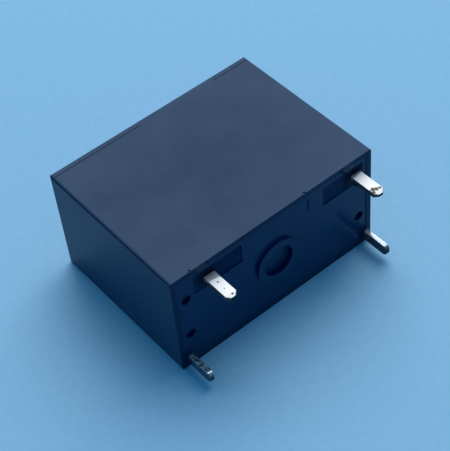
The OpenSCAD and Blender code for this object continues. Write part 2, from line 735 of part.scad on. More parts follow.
// Leaf clip hooked into the sides of the yoke, which keeps the armature on its edge
module hinge_spring() color(spring_steel) relay() {
    raised(clip_low, clip_low + clip_h) difference() {
        intersection() {
            rounded([clip_left - cut, -yoke_half - clip_t],
                [clip_face + clip_t, yoke_half + clip_t], 2 * clip_t);
            translate([clip_left, -case_w / 2]) square([case_l, case_w]);
        }
        rounded([clip_left - cut, -yoke_half], [clip_face, yoke_half], clip_t);
    }
    for (side = [0, 1]) mirror([0, 0, side])
        block([clip_left, yoke_low, yoke_half - clip_hook],
            [clip_left + clip_t, clip_low + clip_h, yoke_half + clip_t / 2]);
}

case();
base();
sealing_resin();
moving_terminal();
fixed_terminal();
coil_terminal_left();
coil_terminal_right();
fixed_contact();
moving_spring();
moving_contact();
spring_rivets();
bobbin();
coil_winding();
coil_lead_left();
coil_lead_right();
solder_left();
solder_right();
core();
yoke();
armature();
pusher();
hinge_spring();
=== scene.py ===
"""Looks of a sealed power relay for a circuit board, lying on one long side."""
import json
import math

import bmesh
import bpy
import numpy as np
from mathutils import Matrix, Vector


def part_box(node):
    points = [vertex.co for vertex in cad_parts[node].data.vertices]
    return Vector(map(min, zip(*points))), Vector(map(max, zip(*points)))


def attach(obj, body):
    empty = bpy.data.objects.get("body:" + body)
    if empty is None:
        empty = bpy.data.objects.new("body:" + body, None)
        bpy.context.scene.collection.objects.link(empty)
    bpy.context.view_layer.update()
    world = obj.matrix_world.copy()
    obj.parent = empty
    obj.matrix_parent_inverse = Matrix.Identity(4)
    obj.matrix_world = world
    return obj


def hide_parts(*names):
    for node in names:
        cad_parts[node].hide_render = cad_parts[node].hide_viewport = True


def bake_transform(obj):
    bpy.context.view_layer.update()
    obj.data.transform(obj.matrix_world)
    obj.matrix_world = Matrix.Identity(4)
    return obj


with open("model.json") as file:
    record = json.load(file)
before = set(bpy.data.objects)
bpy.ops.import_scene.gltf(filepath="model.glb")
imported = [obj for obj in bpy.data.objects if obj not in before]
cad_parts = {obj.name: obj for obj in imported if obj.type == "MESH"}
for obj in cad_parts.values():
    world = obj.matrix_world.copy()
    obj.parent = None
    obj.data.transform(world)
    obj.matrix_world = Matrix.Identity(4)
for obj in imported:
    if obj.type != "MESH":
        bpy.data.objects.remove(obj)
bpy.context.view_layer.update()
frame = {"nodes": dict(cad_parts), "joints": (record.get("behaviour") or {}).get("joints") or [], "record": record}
nodes = frame["nodes"]
mm = 0.001

# Bobbin: the former that carries the coil and holds the two coil pins in its lugs.
# Injection moulded in black PBT, so it is satin, with the fine grain of a spark-eroded tool.


def linear(colour):
    """Linear RGBA of an sRGB hex colour: ((c + 0.055) / 1.055) ** 2.4, or c / 12.92 where it is dark."""
    channels = [int(colour[i:i + 2], 16) / 255 for i in (1, 3, 5)]
    return (*(c / 12.92 if c <= 0.04045 else ((c + 0.055) / 1.055) ** 2.4 for c in channels), 1.0)


def plug(tree, made, inputs):
    """Sets each input of a node to a value, or links it to a socket."""
    for key, value in inputs.items():
        if isinstance(value, bpy.types.NodeSocket):
            tree.links.new(value, made.inputs[key])
        else:
            made.inputs[key].default_value = value


def add(tree, kind, inputs, **settings):
    """Adds one shader node with its settings, values and links. Some sockets go by number:
    a Map Range takes its input span at 1 and 2 and its output span at 3 and 4,
    and a colour Mix takes its share at 0 and its two colours at 6 and 7."""
    made = tree.nodes.new("ShaderNode" + kind)
    for key, value in settings.items():
        setattr(made, key, value)
    plug(tree, made, inputs)
    return made


def start_finish(name, sockets):
    """Starts a material: plain sockets are set on its shader, and patterns read the Object coordinates."""
    material = bpy.data.materials.new(name)
    material.use_nodes = True
    tree = material.node_tree
    shader = tree.nodes["Principled BSDF"]
    plug(tree, shader, sockets)
    return material, tree, shader, add(tree, "TexCoord", {}).outputs["Object"]


def dress(material, *names):
    """Gives CAD nodes this material in the slots that they already have."""
    for name in names:
        for slot in nodes[name].material_slots:
            slot.material = material


def moulded_plastic(name, tone, cloud, roughness, grain, sockets):
    """Colour drifts between two close tones in clouds, and a fine grain roughens and pits the skin.
    The grain of a spark-eroded tool is about 0.05 mm across, so it is drawn about twice as coarse to show."""
    cloud_size = 4 * mm
    pit_depth = grain / 60
    uneven = 0.06
    material, tree, shader, place = start_finish(name, {"IOR": 1.5, **sockets})
    drift = add(tree, "TexNoise", {"Vector": place, "Scale": 1 / cloud_size, "Detail": 3.0})
    pits = add(tree, "TexNoise", {"Vector": place, "Scale": 1 / grain, "Detail": 2.0})
    colour = add(tree, "Mix", {0: drift.outputs[0], 6: linear(tone), 7: linear(cloud)}, data_type="RGBA")
    gloss = add(tree, "MapRange", {0: pits.outputs[0], 3: roughness - uneven, 4: roughness + uneven})
    relief = add(tree, "Bump", {"Height": pits.outputs[0], "Strength": 0.5, "Distance": pit_depth})
    plug(tree, shader, {"Base Color": colour.outputs[2], "Roughness": gloss.outputs[0],
                        "Normal": relief.outputs[0]})
    return material


bobbin_pbt = moulded_plastic("bobbin_moulded_pbt", "#1b1d20", "#26282c", 0.5, 0.12 * mm, {})
dress(bobbin_pbt, "bobbin")

# Coil: several thousand turns of enamelled copper wire, wound in close layers between the flanges.
# The bare barrel of the frame is replaced by its outer layer of turns, so the ridges of the wire show.
# The wire is drawn about twice as thick as a real one, which would be too fine to see.
wire_d = 0.12 * mm
former_r = 2.08 * mm
turn_samples = 8
winding_sides = 72


def surface(name, points, material, ring=(False, False)):
    """Mesh over a grid of points: a quad between each four neighbours, and rows or columns closed into rings.
    Points that fall together at a pole or seam are merged, and faces are turned outwards."""
    together = 0.00001 * mm
    rows, columns = points.shape[:2]
    index = np.arange(rows * columns).reshape(rows, columns)
    index = np.vstack([index, index[:1]]) if ring[0] else index
    index = np.hstack([index, index[:, :1]]) if ring[1] else index
    quads = np.stack([index[:-1, :-1], index[1:, :-1], index[1:, 1:], index[:-1, 1:]], axis=-1)
    mesh = bpy.data.meshes.new(name)
    mesh.from_pydata(points.reshape(-1, 3).tolist(), [], quads.reshape(-1, 4).tolist())
    shell = bmesh.new()
    shell.from_mesh(mesh)
    bmesh.ops.remove_doubles(shell, verts=shell.verts, dist=together)
    bmesh.ops.recalc_face_normals(shell, faces=shell.faces)
    shell.to_mesh(mesh)
    shell.free()
    mesh.polygons.foreach_set("use_smooth", np.ones(len(mesh.polygons), bool))
    mesh.materials.append(material)
    piece = bpy.data.objects.new(name, mesh)
    bpy.context.scene.collection.objects.link(piece)
    return piece


def fit(piece, slot, *replaced):
    """A piece that stays with the housing, and the nodes that it stands for, which are hidden. Its finish's slot
    is not used.
    """
    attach(piece, "housing")
    if replaced:
        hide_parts(*replaced)


def wound_barrel(low, high):
    """Barrel of turns: the radius at length x and angle t falls by half a wire and back once a pitch,
    r = R - d / 2 * (1 - sqrt(1 - s^2)) with s the place across the turn, which climbs one pitch a round."""
    centre = (low + high) / 2
    outer = (high.y - low.y) / 2
    turns = round((high.x - low.x) / wire_d)
    x = np.linspace(low.x, high.x, turns * turn_samples + 1)[:, None]
    angle = np.linspace(0, 2 * np.pi, winding_sides, endpoint=False)[None, :]
    across = 2 * np.mod((x - low.x) / wire_d + angle / (2 * np.pi), 1) - 1
    radius = outer - wire_d / 2 * (1 - np.sqrt(1 - across ** 2))
    inner = np.full((1, winding_sides), former_r)
    radius = np.vstack([inner, radius, inner])
    x = np.vstack([x[:1], x, x[-1:]])
    y = centre.y + radius * np.cos(angle)
    z = centre.z + radius * np.sin(angle)
    return np.stack([x + 0 * angle, y, z], axis=-1)


# Enamel over copper: a dark orange metal under a clear glossy coat, uneven over every few turns
uneven_l = 5 * wire_d
wire_roughness = (0.25, 0.4)
enamelled_wire, tree, shader, place = start_finish(
    "enamelled_copper_wire", {"Metallic": 1.0, "Coat Weight": 0.6, "Coat Roughness": 0.15})
turn_drift = add(tree, "TexNoise", {"Vector": place, "Scale": 1 / uneven_l, "Detail": 2.0})
copper = add(tree, "Mix", {0: turn_drift.outputs[0], 6: linear("#8a4324"), 7: linear("#b5673a")},
             data_type="RGBA")
enamel = add(tree, "MapRange", {0: turn_drift.outputs[0], 3: wire_roughness[0], 4: wire_roughness[1]})
plug(tree, shader, {"Base Color": copper.outputs[2], "Roughness": enamel.outputs[0]})

winding = surface("coil_turns", wound_barrel(*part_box("coil_winding")), enamelled_wire, (True, True))
fit(winding, "enamelled_wire", "coil_winding")

# Leads: each end of the winding leaves over a flange and is wrapped round its coil pin.
# The same enamelled wire, three times round, so the wraps stand four wires high on the side it comes from.
lead_turns = 3
lead_sides = 10
run_points = 40
turn_points = 160
easing = np.ones(5) / 5


def lead_path(side):
    """Centre line of a lead: a straight run over the flange, then turns round the pin that climb a wire each.
    A turn is a rounded square, x = a * sgn(c) * |c|^0.5 and z = b * sgn(s) * |s|^0.5.
    Corners are eased by a running mean."""
    low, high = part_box("coil_lead_" + side)
    pin_low, pin_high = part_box("coil_terminal_" + side)
    pin = (pin_low + pin_high) / 2
    outward = -1 if side == "left" else 1
    start_x = high.x if side == "left" else low.x
    first_h = low.y + wire_d / 2
    half_w = (pin_high.x - pin_low.x - wire_d) / 2
    half_d = (pin_high.z - pin_low.z - wire_d) / 2
    begin = np.array([start_x + outward * wire_d / 2, low.y + 1.5 * wire_d, high.z - wire_d / 2])
    arrive = np.array([pin.x - outward * half_w, first_h, pin.z + half_d])
    straight = begin + np.linspace(0, 1, run_points)[:, None] * (arrive - begin)
    angle = np.linspace(0, 2 * np.pi * lead_turns, turn_points)
    cosine = np.cos(angle + np.pi / 2)
    sine = np.sin(angle + np.pi / 2)
    turns = np.stack([
        pin.x - outward * half_w * np.sign(cosine) * np.sqrt(np.abs(cosine)),
        first_h + angle / (2 * np.pi) * wire_d,
        pin.z + half_d * np.sign(sine) * np.sqrt(np.abs(sine)),
    ], axis=-1)
    path = np.vstack([straight, turns])
    eased = np.stack([np.convolve(path[:, i], easing, "valid") for i in range(3)], axis=-1)
    return np.vstack([path[:1], eased, path[-1:]])


def tube(path, radius, sides):
    """Round tube along a path: circles across the tangent, framed by the way the coil pins point.
    Both ends are closed."""
    tangent = np.gradient(path, axis=0)
    tangent /= np.linalg.norm(tangent, axis=1, keepdims=True)
    beside = np.cross(tangent, [0, 1, 0])
    beside /= np.linalg.norm(beside, axis=1, keepdims=True)
    above = np.cross(beside, tangent)
    angle = np.linspace(0, 2 * np.pi, sides, endpoint=False)[None, :, None]
    rings = path[:, None] + radius * (np.cos(angle) * beside[:, None] + np.sin(angle) * above[:, None])
    ends = np.broadcast_to(path[[0, -1], None], (2, sides, 3))
    return np.concatenate([ends[:1], rings, ends[1:]])


for side in ("left", "right"):
    wire = tube(lead_path(side), wire_d / 2, lead_sides)
    lead = surface("coil_lead_wire_" + side, wire, enamelled_wire, (False, True))
    fit(lead, "enamelled_wire", "coil_lead_" + side)

# Solder caps: a bead of solder on the top of each coil pin that ties the lead to it.
# Tin alloy that froze from a drop, so it is smooth, domed and faintly grained.
cap_rows = 16
cap_sides = 40
squareness = 0.6


def solder_bead(low, high):
    """Dome over a rounded square: at height v the square is (1 - v^3)^(1/3) of its foot."""
    centre = (low + high) / 2
    height = np.linspace(0, 1, cap_rows)[:, None]
    share = np.vstack([[[0.0]], np.cbrt(1 - height ** 3)])
    height = np.vstack([[[0.0]], height])
    angle = np.linspace(0, 2 * np.pi, cap_sides, endpoint=False)[None, :]
    square_x = np.sign(np.cos(angle)) * np.abs(np.cos(angle)) ** squareness
    square_z = np.sign(np.sin(angle)) * np.abs(np.sin(angle)) ** squareness
    return np.stack([
        centre.x + (high.x - low.x) / 2 * share * square_x,
        low.y + (high.y - low.y) * height + 0 * angle,
        centre.z + (high.z - low.z) / 2 * share * square_z,
    ], axis=-1)


solder_grain = 0.08 * mm
frozen_solder, tree, shader, place = start_finish("frozen_solder", {"Metallic": 1.0, "Roughness": 0.3})
crystals = add(tree, "TexVoronoi", {"Vector": place, "Scale": 1 / solder_grain})
tin_tone = add(tree, "Mix", {0: crystals.outputs[0], 6: linear("#b9bcc0"), 7: linear("#d9dbdd")},
               data_type="RGBA")
plug(tree, shader, {"Base Color": tin_tone.outputs[2]})
for side in ("left", "right"):
    dome = solder_bead(*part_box("solder_" + side))
    bead = surface("solder_bead_" + side, dome, frozen_solder, (False, True))
    fit(bead, "solder", "solder_" + side)

# Magnet: the turned core with its pole head, riveted into the bent yoke, and the folded armature.
# Soft iron, barrel plated with nickel: warm grey, dull, with faint rolling lines along the strip.


def rolled_metal(name, bright, dull, roughness, line_width, stretch):
    """Fine lines along the rolling direction: noise drawn out by the three stretch factors.
    Real lines are about 0.02 mm wide, so they are drawn up to five times as wide to show."""
    line_depth = 0.002 * mm
    uneven = 0.1
    material, tree, shader, place = start_finish(name, {"Metallic": 1.0})
    drawn = add(tree, "Mapping", {"Vector": place, "Scale": stretch})
    lines = add(tree, "TexNoise", {"Vector": drawn.outputs[0], "Scale": 1 / line_width, "Detail": 4.0})
    colour = add(tree, "Mix", {0: lines.outputs[0], 6: linear(dull), 7: linear(bright)}, data_type="RGBA")
    gloss = add(tree, "MapRange", {0: lines.outputs[0], 3: roughness + uneven, 4: roughness - uneven})
    relief = add(tree, "Bump", {"Height": lines.outputs[0], "Strength": 0.4, "Distance": line_depth})
    plug(tree, shader, {"Base Color": colour.outputs[2], "Roughness": gloss.outputs[0],
                        "Normal": relief.outputs[0]})
    return material


lengthwise = (0.05, 1.0, 1.0)
nickel_iron = rolled_metal("nickel_plated_iron", "#c2bfb8", "#98958f", 0.38, 0.1 * mm, lengthwise)
dress(nickel_iron, "core", "yoke", "armature")

# Hinge spring: a thin clip hooked into the yoke, which keeps the armature on its rocking edge.
# Rolled stainless spring steel, bright and straight-grained.
spring_steel = rolled_metal("stainless_spring_strip", "#c4c5c6", "#8f9193", 0.28, 0.05 * mm, lengthwise)
dress(spring_steel, "hinge_spring")

# Pusher: the insulating nose staked on the armature, which presses the contact leaf down.
# Moulded in natural ivory PBT, matt and a little translucent.
translucent = {"Subsurface Weight": 0.1, "Subsurface Scale": 0.3 * mm}
natural_pbt = moulded_plastic("pusher_natural_pbt", "#d8cfb4", "#e4dcc6", 0.5, 0.1 * mm, translucent)
dress(natural_pbt, "pusher")

# Contact set: two silver rivets, the leaf that carries one of them, and the rivets at the leaf's root.
# Silver alloy, headed cold and matt; the leaf is rolled copper alloy, springy and pinkish.
# In the relay the leaf bends between its clamped root and the pusher; here it is drawn straight, and it replaces
# the stiff one of the frame.
all_ways = (1.0, 1.0, 1.0)
contact_silver = rolled_metal("headed_silver_alloy", "#dcd9d2", "#b4b0a6", 0.34, 0.06 * mm, all_ways)
dress(contact_silver, "fixed_contact", "moving_contact")
leaf_copper = rolled_metal("rolled_copper_alloy_leaf", "#d39a72", "#a8704a", 0.32, 0.06 * mm, lengthwise)
leaf_edge_r = 0.03 * mm
leaf_stations = 100
leaf_end_stations = 20


def rounded_section(flat, arc):
    """Points round a rectangle with round corners: shares of its half sizes, then the normal, for each point.
    Each corner is a quarter turn of normals at one share, and each flat runs on to the next corner."""
    corners = np.array([[1, 1], [-1, 1], [-1, -1], [1, -1]])
    parts = []
    for quarter, corner in enumerate(corners):
        angle = np.radians(90 * quarter + np.linspace(0, 90, arc))
        normal = np.stack([np.cos(angle), np.sin(angle)], axis=-1)
        onward = corners[(quarter + 1) % 4] - corner
        step = np.linspace(0, 1, flat + 2)[1:-1, None]
        parts.append(np.hstack([np.broadcast_to(corner, (arc, 2)), normal]))
        parts.append(np.hstack([corner + step * onward, np.broadcast_to(normal[-1], (flat, 2))]))
    return np.vstack(parts)


def tapered_leaf(low, high, root_x, contact_x):
    """Thin plate along x: as wide as its box up to the root line, then narrowing evenly to the contact, then
    round, with half width sqrt(r^2 - (x - c)^2). Its edges are rounded, and the rivets fill its holes."""
    centre = (low + high) / 2
    end_r = high.x - contact_x
    sweep = np.sin(np.linspace(0, np.pi / 2, leaf_end_stations))
    x = np.hstack([np.linspace(low.x, contact_x, leaf_stations), contact_x + end_r * sweep[1:]])[:, None]
    root_half = (high.z - low.z) / 2
    half_w = np.interp(x, [low.x, root_x, contact_x], [root_half, root_half, end_r])
    half_w = half_w - end_r + np.sqrt(np.maximum(end_r ** 2 - np.maximum(x - contact_x, 0) ** 2, 0))
    share_z, share_y, normal_z, normal_y = rounded_section(flat=6, arc=4).T[:, None, :]
    radius = np.minimum(leaf_edge_r, half_w)
    y = centre.y + share_y * ((high.y - low.y) / 2 - radius) + normal_y * radius
    z = centre.z + share_z * (half_w - radius) + normal_z * radius
    rows = np.stack(np.broadcast_arrays(x, y, z), axis=-1)
    root = np.broadcast_to([low.x, centre.y, centre.z], rows[:1].shape)
    return np.concatenate([root, rows])


flex = next(joint for joint in frame["joints"] if joint["name"] == "contact_flex")
root_line = Vector(flex["pos_m"])
contact_low, contact_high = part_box("moving_contact")
leaf_plate = tapered_leaf(*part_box("moving_spring"), root_line.x, (contact_low.x + contact_high.x) / 2)
leaf = surface("contact_leaf", leaf_plate, leaf_copper, (False, True))
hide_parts("moving_spring")
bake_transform(leaf)

# Terminals: two stamped contact blades and two drawn coil pins, all of tinned copper alloy.
# Where they leave the base the plating is old and dull, and darker on the pins.
# Only the part that goes into the board was dipped.
along_blade = (1.0, 0.08, 1.0)
dull_tin = rolled_metal("dull_tinned_copper_alloy", "#a0a7b1", "#848b95", 0.55, 0.09 * mm, along_blade)
dress(dull_tin, "moving_terminal", "fixed_terminal", "spring_rivets")
# Tone of the coil pins where they leave the base: darker than the blades' dull tin
darker_pin_tin = rolled_metal("darker_pin_tinned_wire", "#6a747e", "#4d565f", 0.6, 0.09 * mm, along_blade)
dress(darker_pin_tin, "coil_terminal_left", "coil_terminal_right")

# Base: the floor of the relay, with the seating ring, dimples and pockets for the terminals.
# Moulded in the same blue-black PBT as the case, from a smoother tool, so it mirrors the table faintly.
base_gloss = {"Specular IOR Level": 0.13, "Specular Tint": linear("#40b0ff")}
base_pbt = moulded_plastic("base_moulded_pbt", "#053253", "#063859", 0.2, 0.1 * mm, base_gloss)
dress(base_pbt, "base")

# The walls of the ring, dimples and pockets are painted darker: painted shade in these hollows
wall_shade_lean = (-0.9, -0.4)
tree = base_pbt.node_tree
shader = tree.nodes["Principled BSDF"]
flat_tone = shader.inputs["Base Color"].links[0].from_socket
base_facing = add(tree, "SeparateXYZ", {0: add(tree, "TexCoord", {}).outputs["Normal"]})
wall = add(tree, "MapRange", {0: base_facing.outputs[1], 1: wall_shade_lean[0], 2: wall_shade_lean[1]})
# Painted shade: a darker tone on the walls of the hollows
base_and_wall_shade_tone = add(tree, "Mix", {0: wall.outputs[0], 6: flat_tone, 7: linear("#0c2354")}, data_type="RGBA")
plug(tree, shader, {"Base Color": base_and_wall_shade_tone.outputs[2]})

# Solder dip: the hot tin coat on the part of each terminal that goes into the board.
# It froze as a thin bright skin with round edges, a ragged upper end and a few burnt flecks.
rim_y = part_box("case")[0].y
tip_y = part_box("moving_terminal")[0].y
mounts = {mount["name"]: mount["pos_m"] for mount in frame["record"]["mounts"]}
coat_t = 0.02 * mm
coat_sunk = 0.2
coat_edge_r = 0.06 * mm
coat_corner_share = 0.9
coat_swell = 0.012 * mm
coat_rows = 72
wetting_l = 0.06 * mm
ragged_wide = 0.025 * mm
ragged_fine = 0.015 * mm
ragged_waves = (5, 11)


def dipped_skin(mount, band, slant, seed, wide, deep):
    """Skin round a terminal: at distance e from the tip its section is the metal's own, wide(e) by deep(e),
    grown by the coat, swelled in the middle of the flats, and sunk into the metal at the ragged upper end.
    The upper end slants across the terminal's width."""
    centre_x, _, centre_z = mounts[mount]
    length = rim_y - band - tip_y
    e = length * (0.5 + 0.5 * np.cos(np.linspace(0, np.pi, coat_rows)))[:, None]
    share_x, share_z, normal_x, normal_z = rounded_section(flat=10, arc=6).T[:, None, :]
    angle = np.arctan2(share_z + normal_z, share_x + normal_x)
    ragged = ragged_wide * np.sin(ragged_waves[0] * angle + seed)
    ragged = ragged + ragged_fine * np.sin(ragged_waves[1] * angle + 2 * seed)
    ragged = ragged - slant * (share_x + normal_x) / 2
    wetted = np.clip((length - e) / wetting_l, 0, 1)
    grow = coat_t * (wetted * wetted * (3 - 2 * wetted) * (1 + coat_sunk) - coat_sunk)
    half_x = wide(e) + grow
    half_z = deep(e) + grow
    radius = np.minimum(coat_edge_r, coat_corner_share * np.minimum(half_x, half_z))
    swell = coat_swell * wetted * (1 - share_x ** 2) * np.round(normal_z)
    x = centre_x + share_x * (half_x - radius) + normal_x * radius
    y = tip_y + e + (e / length) ** 4 * ragged
    z = centre_z + share_z * (half_z - radius) + normal_z * radius + swell
    rows = np.stack(np.broadcast_arrays(x, y, z), axis=-1)
    tip = np.broadcast_to([centre_x, tip_y, centre_z], rows[:1].shape)
    top = np.broadcast_to([centre_x, tip_y + length, centre_z], rows[:1].shape)
    return np.concatenate([top, rows, tip])


blade_half = (0.51 * mm, 0.2 * mm)
blade_chamfer = 0.3 * mm
coin_l = 0.35 * mm
coin_depth = 0.09 * mm
pin_half = (0.225 * mm, 0.475 * mm)
pin_tip_r = 0.38 * mm
pin_chamfer = 0.08 * mm


def blade_wide(e):
    """The corners of a blade's tip are cut at 45 degrees."""
    return blade_half[0] - blade_chamfer * np.clip(1 - e / blade_chamfer, 0, 1)


def blade_deep(e):
    """A blade is coined thinner on both faces at its tip."""
    return blade_half[1] - coin_depth * np.clip(1 - e / coin_l, 0, 1)


def pin_wide(e):
    """A pin is pinched in from both sides along its rounded tip."""
    return pin_half[0] - pin_chamfer * np.clip(1 - e / pin_tip_r, 0, 1)


def pin_deep(e):
    """The tip of a pin has quarter-round corners: d - r + sqrt(r^2 - (r - e)^2)."""
    short = np.maximum(pin_tip_r - e, 0)
    return pin_half[1] - pin_tip_r + np.sqrt(pin_tip_r ** 2 - short ** 2)


# Hot-dipped tin: white metal with soft dimples from freezing, dark on its sides and ends and where flux burnt.
# The dark sides and ends are partly the dull edges left by shearing, partly painted shade; one begins where the
# face's normal leans this far sideways or towards the tip.
ragged_size = 0.07 * mm
cut_and_shaded_lean = (0.35, 0.65)
speckle_step = (0.42, 0.58)
fleck_fray = (0.54, 0.42)
tin_uneven = 0.08
burnt_flux = "#4a463f"


def dipped_tin(name, bloom, tones, cut_and_shaded_tone, roughness, dimple_size, dimple_depth, flecks):
    """Dimples tilt the bright metal a little, and each fleck is a ragged brown patch round a place in mm.
    Sides and ends stay dark: partly where shearing left them thinly coated, partly painted shade.
    The bloom is the share of the surface where oxide scatters the light as a matt white."""
    material, tree, shader, place = start_finish(name, {"Metallic": 1 - bloom})
    dimples = add(tree, "TexNoise", {"Vector": place, "Scale": 1 / dimple_size, "Detail": 2.0})
    ragged = add(tree, "TexNoise", {"Vector": place, "Scale": 1 / ragged_size, "Detail": 3.0})
    facing = add(tree, "SeparateXYZ", {0: add(tree, "TexCoord", {}).outputs["Normal"]})
    side = add(tree, "Math", {0: facing.outputs[0]}, operation="ABSOLUTE")
    end = add(tree, "Math", {0: facing.outputs[1], 1: -1.0}, operation="MULTIPLY")
    edge = add(tree, "Math", {0: side.outputs[0], 1: end.outputs[0]}, operation="MAXIMUM")
    cut_and_shaded = add(tree, "MapRange", {0: edge.outputs[0], 1: cut_and_shaded_lean[0], 2: cut_and_shaded_lean[1]})
    speckled = add(tree, "MapRange", {0: dimples.outputs[0], 1: speckle_step[0], 2: speckle_step[1]})
    bright = add(tree, "Mix", {0: speckled.outputs[0], 6: linear(tones[0]), 7: linear(tones[1])},
                 data_type="RGBA")
    colour = add(tree, "Mix", {0: cut_and_shaded.outputs[0], 6: bright.outputs[2], 7: linear(cut_and_shaded_tone)},
                 data_type="RGBA")
    for *centre, reach in flecks:
        away = add(tree, "VectorMath", {0: place, 1: Vector(centre) * mm}, operation="DISTANCE")
        frayed = add(tree, "Math", {0: away.outputs["Value"], 1: ragged.outputs[0]}, operation="MULTIPLY")
        patch = add(tree, "MapRange", {0: frayed.outputs[0], 1: reach * mm * fleck_fray[0],
                                       2: reach * mm * fleck_fray[1]})
        colour = add(tree, "Mix", {0: patch.outputs[0], 6: colour.outputs[2], 7: linear(burnt_flux)},
                     data_type="RGBA")
    gloss = add(tree, "MapRange", {0: dimples.outputs[0], 3: roughness - tin_uneven,
                                   4: roughness + tin_uneven})
    relief = add(tree, "Bump", {"Height": dimples.outputs[0], "Strength": 0.6, "Distance": dimple_depth})
    plug(tree, shader, {"Base Color": colour.outputs[2], "Roughness": gloss.outputs[0],
                        "Normal": relief.outputs[0]})
    return material


blade_flecks = (
    (-6.59, -8.85, 8.92, 0.09), (-6.63, -9.64, 8.92, 0.05),
    (-6.99, -9.79, 8.92, 0.04), (-6.5, -10.42, 8.92, 0.1),
    (7.93, -9.94, 8.92, 0.1), (8.2, -9.99, 8.92, 0.2), (8.44, -10.12, 8.92, 0.18),
    (8.74, -10.18, 8.92, 0.13), (8.02, -10.24, 8.92, 0.16),
)
blade_tin = dipped_tin("hot_dipped_tin", 0.75, ("#f3f0ed", "#f8f5f2"), "#3a3e44",
                       0.66, 0.35 * mm, 0.003 * mm, blade_flecks)
# The coil pins' copies of the dipped tin are darker and bluer than the blades': painted shade and a painted
# reflection of the blue surroundings
blue_shaded_tin = dipped_tin("hot_dipped_tin_blue_shaded", 0.4, ("#8699a8", "#98abba"), "#3d4e5a",
                        0.3, 0.3 * mm, 0.004 * mm, ())
# The left pin's copy is darkest, as painted shade and a painted reflection of the dark base; its light speckles
# are the tin's mottle
speckled_shaded_tin = dipped_tin("hot_dipped_tin_shaded_speckled", 0.25, ("#40586b", "#d3e3ee"), "#5a6a76",
                          0.22, 0.16 * mm, 0.01 * mm, ())
for mount, band, slant, seed, wide, deep, tin in (
    ("moving_contact_blade", 0.66 * mm, 0.19 * mm, 0.6, blade_wide, blade_deep, blade_tin),
    ("fixed_contact_blade", 0.22 * mm, -0.11 * mm, 2.1, blade_wide, blade_deep, blade_tin),
    ("coil_pin_left", 0.3 * mm, 0.0, 3.3, pin_wide, pin_deep, speckled_shaded_tin),
    ("coil_pin_right", 0.74 * mm, -0.36 * mm, 4.4, pin_wide, pin_deep, blue_shaded_tin),
):
    skin = dipped_skin(mount, band, slant, seed, wide, deep)
    fit(surface("solder_dip_" + mount, skin, tin, (False, True)), "tin")

# Case: the moulded cover over the whole relay, open towards the board.
# Blue-black PBT with a satin tool finish: it shows the light softly, and its rounded edges are painted darker, as
# painted shade.
case_gloss = {"Specular IOR Level": 0.06}
case_pbt = moulded_plastic("case_moulded_pbt", "#133d5b", "#17425f", 0.22, 0.12 * mm, case_gloss)
dress(case_pbt, "case")

# The two wide faces are etched finer and rougher, and they are toned a lighter, hazy grey: partly the etched
# finish, partly a painted sheen of the soft light, lighter towards the outer parts of each face than in the
# middle.
# Wide faces, rounded edges and the rim are told apart by how far the normal leans that way.
hazing_and_sheen_size = 3.5 * mm
hazing_and_sheen_span = (0.25, 0.75)
outward_sheen_reach = (0.2, 1.2)
outward_sheen_depth = 0.2
wide_lean = (0.5, 0.9)
edge_lean = (0.05, 0.3)
rim_lean = (-0.5, -0.9)
etched_roughness = 0.46
case_low, case_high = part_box("case")
case_half = (case_high - case_low) / 2
case_middle = (case_high + case_low) / 2
tree = case_pbt.node_tree
shader = tree.nodes["Principled BSDF"]
smooth_tone = shader.inputs["Base Color"].links[0].from_socket
case_coords = add(tree, "TexCoord", {}).outputs
facing = add(tree, "SeparateXYZ", {0: case_coords["Normal"]})
upright = add(tree, "Math", {0: facing.outputs[2]}, operation="ABSOLUTE")
wide_face = add(tree, "MapRange", {0: upright.outputs[0], 1: wide_lean[0], 2: wide_lean[1]})
centred = add(tree, "VectorMath", {0: case_coords["Object"], 1: case_middle}, operation="SUBTRACT")
shares = add(tree, "VectorMath", {0: centred.outputs[0], 1: case_half}, operation="DIVIDE")
flat_shares = add(tree, "VectorMath", {0: shares.outputs[0], 1: (1, 1, 0)}, operation="MULTIPLY")
outward = add(tree, "VectorMath", {0: flat_shares.outputs[0]}, operation="LENGTH")
clouds = add(tree, "TexNoise", {"Vector": case_coords["Object"], "Scale": 1 / hazing_and_sheen_size, "Detail": 5.0})
# Painted sheen: the wide faces grow lighter towards their outer parts
outward_sheen = add(tree, "MapRange", {0: outward.outputs["Value"], 1: outward_sheen_reach[0], 2: outward_sheen_reach[1],
                                3: -outward_sheen_depth, 4: outward_sheen_depth})
thickness = add(tree, "Math", {0: outward_sheen.outputs[0], 1: clouds.outputs[0]}, operation="ADD")
hazing_and_sheen = add(tree, "MapRange", {0: thickness.outputs[0], 1: hazing_and_sheen_span[0], 2: hazing_and_sheen_span[1]})
# Painted sheen: the lighter grey tone of the wide faces, over the etched finish
etched_sheen_tone = add(tree, "Mix", {0: hazing_and_sheen.outputs[0], 6: linear("#2a3f58"), 7: linear("#364b64")},
                  data_type="RGBA")
# Painted shade: a darker tone on the rounded edges
edge_shade_share = add(tree, "MapRange", {0: upright.outputs[0], 1: edge_lean[0], 2: edge_lean[1]})
edge_shade_tone = add(tree, "Mix", {0: edge_shade_share.outputs[0], 6: smooth_tone, 7: linear("#04243e")},
                 data_type="RGBA")
case_sheen_and_shade_tone = add(tree, "Mix", {0: wide_face.outputs[0], 6: edge_shade_tone.outputs[2], 7: etched_sheen_tone.outputs[2]},
                data_type="RGBA")
